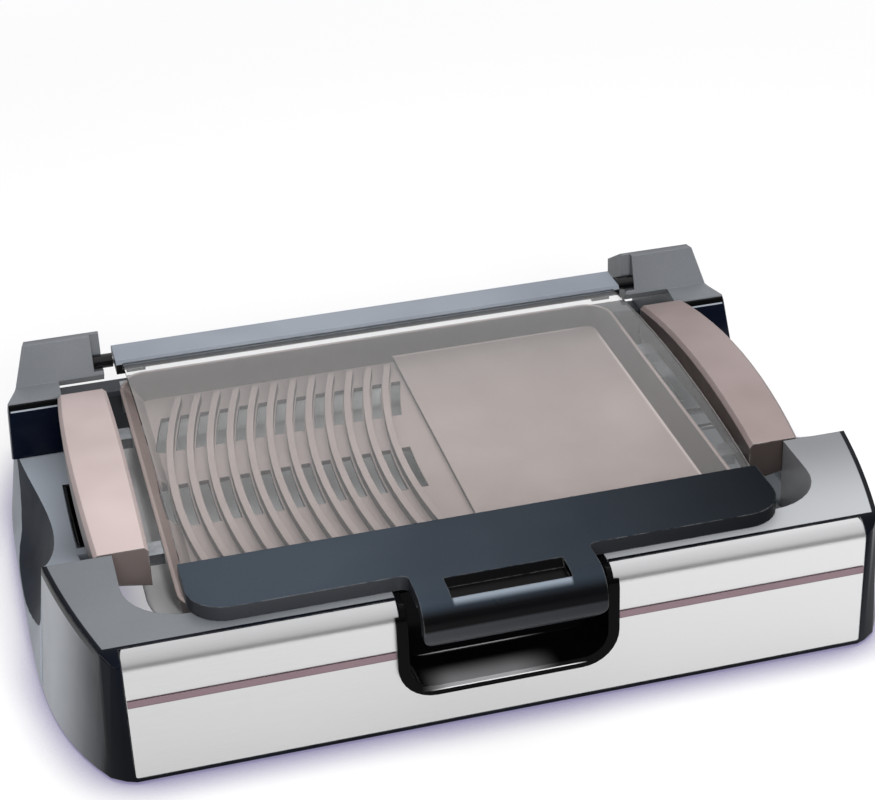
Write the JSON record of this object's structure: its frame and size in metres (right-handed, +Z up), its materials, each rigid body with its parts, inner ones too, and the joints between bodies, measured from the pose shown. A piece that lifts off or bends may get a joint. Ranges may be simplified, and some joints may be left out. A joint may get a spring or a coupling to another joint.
{
  "type": "electric grill",
  "caption": "Countertop electric grill: an open base with rear hinge towers, a drip tray, a ribbed and flat cooking plate with side handles, and an arched glass lid with a front handle.",
  "frame": {"origin": "middle of the outer box in plan, on the surface that the feet stand on", "axes": "+X to the right along the width, +Y to the back, +Z up"},
  "size_m": [0.57, 0.46, 0.12],
  "materials": {
    "housing_grey": "satin moulded plastic",
    "base_dark": "satin moulded plastic, near-black blue",
    "panel_steel": "brushed along its length",
    "stripe_mauve": "satin",
    "gloss_black": "polished",
    "foot_rubber": "matte",
    "fixing_steel": "zinc plated",
    "tray_metal": "satin light grey coating on pressed sheet",
    "plate_coating": "satin non-stick coating on cast aluminium",
    "handle_taupe": "satin moulded plastic",
    "element_sheath": "oxidised sheath",
    "terminal_ceramic": "pressed ceramic",
    "lid_bar": "satin moulded plastic",
    "lid_glass": "clear tempered glass"
  },
  "bodies": {
    "base": {"front_housing": "housing_grey", "side_frame_left": "housing_grey", "side_frame_right": "housing_grey", "tower_left": "housing_grey", "tower_right": "housing_grey", "tray_ledge_front_left": "housing_grey", "tray_ledge_front_right": "housing_grey", "tray_ledge_rear_left": "housing_grey", "tray_ledge_rear_right": "housing_grey", "plate_rest_front_left": "housing_grey", "plate_rest_front_right": "housing_grey", "plate_rest_rear_left": "housing_grey", "plate_rest_rear_right": "housing_grey", "front_bottom_cover": "base_dark", "rear_rail": "base_dark", "rear_bottom_cover": "base_dark", "front_panel": "panel_steel", "stripe_left": "stripe_mauve", "stripe_right": "stripe_mauve", "notch_liner": "gloss_black", "recess_liner": "gloss_black", "probe_guide": "gloss_black", "tower_face_left": "gloss_black", "tower_face_right": "gloss_black", "foot_front_left": "foot_rubber", "foot_front_right": "foot_rubber", "foot_rear_left": "foot_rubber", "foot_rear_right": "foot_rubber", "cover_screw_left": "fixing_steel", "cover_screw_right": "fixing_steel"},
    "tray": {"drip_tray": "tray_metal"},
    "plate": {"cook_plate": "plate_coating", "heating_element": "element_sheath", "terminal_block": "terminal_ceramic", "terminal_pin_front": "fixing_steel", "terminal_pin_rear": "fixing_steel", "probe_sleeve": "fixing_steel", "element_clip_front": "fixing_steel", "element_clip_rear": "fixing_steel", "plate_handle_left": "handle_taupe", "plate_handle_right": "handle_taupe", "handle_lug_front_left": "fixing_steel", "handle_lug_front_right": "fixing_steel", "handle_lug_rear_left": "fixing_steel", "handle_lug_rear_right": "fixing_steel", "handle_screw_front_left": "fixing_steel", "handle_screw_front_right": "fixing_steel", "handle_screw_rear_left": "fixing_steel", "handle_screw_rear_right": "fixing_steel"},
    "lid_pivots": {"pivot_block_left": "gloss_black", "pivot_block_right": "gloss_black", "pivot_pin_left": "fixing_steel", "pivot_pin_right": "fixing_steel"},
    "lid": {"lid_glass": "lid_glass", "lid_rear_bar": "lid_bar", "lid_front_bar": "lid_bar", "handle_grip": "gloss_black", "glass_clip_left": "gloss_black", "glass_clip_right": "gloss_black"}
  },
  "joints": [
    {"name": "tray_lift", "type": "slide", "parent": "base", "child": "tray", "axis": [0, 0, 1], "range_m": [0, 0.037]},
    {"name": "plate_lift", "type": "slide", "parent": "tray", "child": "plate", "axis": [0, 0, 1], "range_m": [0, 0.075]},
    {"name": "lid_lift", "type": "slide", "parent": "plate", "child": "lid_pivots", "axis": [0, 0, 1], "range_m": [0, 0.085]},
    {"name": "lid_hinge", "type": "hinge", "parent": "lid_pivots", "child": "lid", "pos_m": [0, 0.1565, 0.0993], "axis": [1, 0, 0], "range_deg": [-95, 0]}
  ]
}
